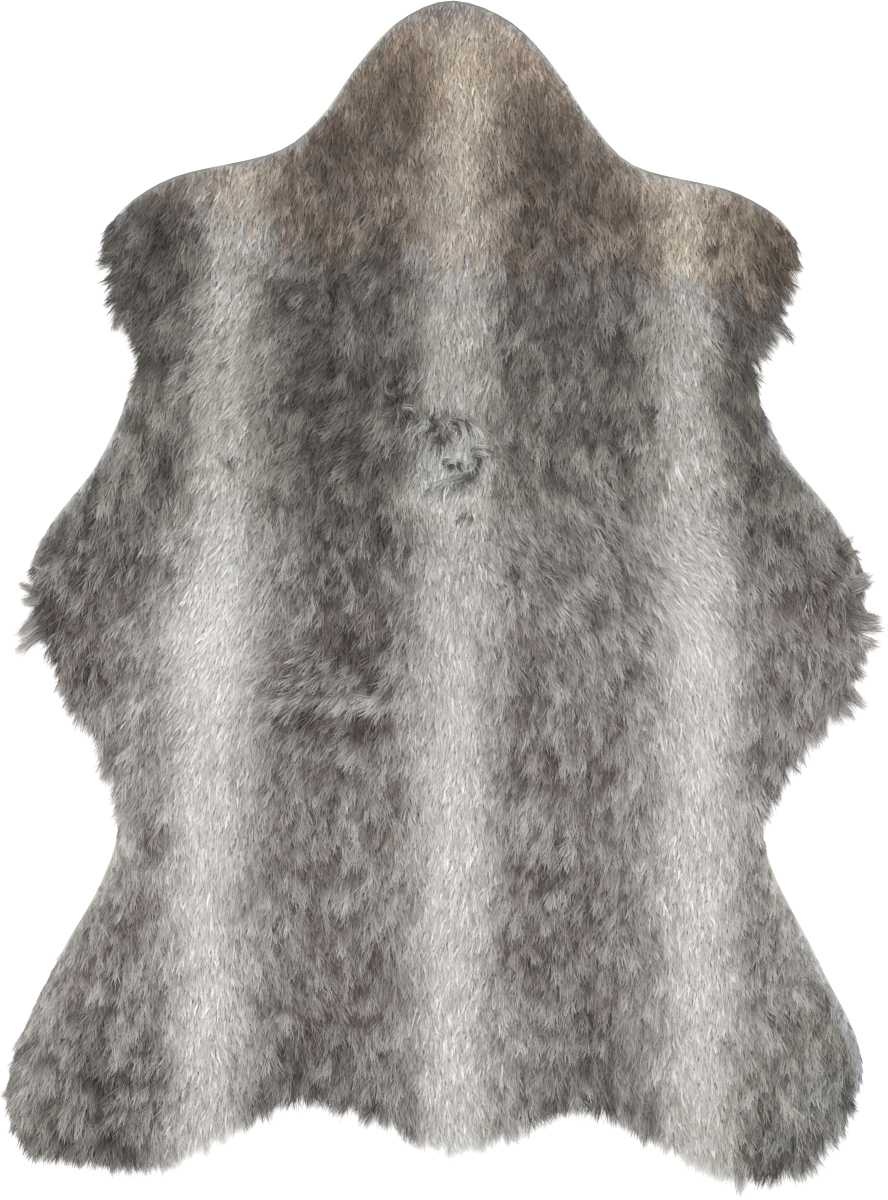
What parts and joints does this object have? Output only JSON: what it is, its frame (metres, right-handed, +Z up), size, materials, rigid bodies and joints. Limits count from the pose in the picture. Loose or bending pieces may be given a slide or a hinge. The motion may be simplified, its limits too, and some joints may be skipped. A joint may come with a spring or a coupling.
{
  "type": "imitation wolfskin rug",
  "caption": "Hide-shaped floor rug of long grey imitation wolf fur, laid flat, with pale stripes from head to tail and ragged locks along the lower edges.",
  "frame": {"origin": "on the floor under the middle of the rug's overall length and width", "axes": "+Y towards the head end, +X to the right side seen from above with the head away from the viewer, +Z up out of the pile"},
  "size_m": [0.8852, 1.1994, 0.0324],
  "materials": {
    "fur": "long soft pile, matt with a slight sheen along the hairs"
  },
  "bodies": {
    "root": {"fur_hide": "fur"}
  },
  "joints": []
}
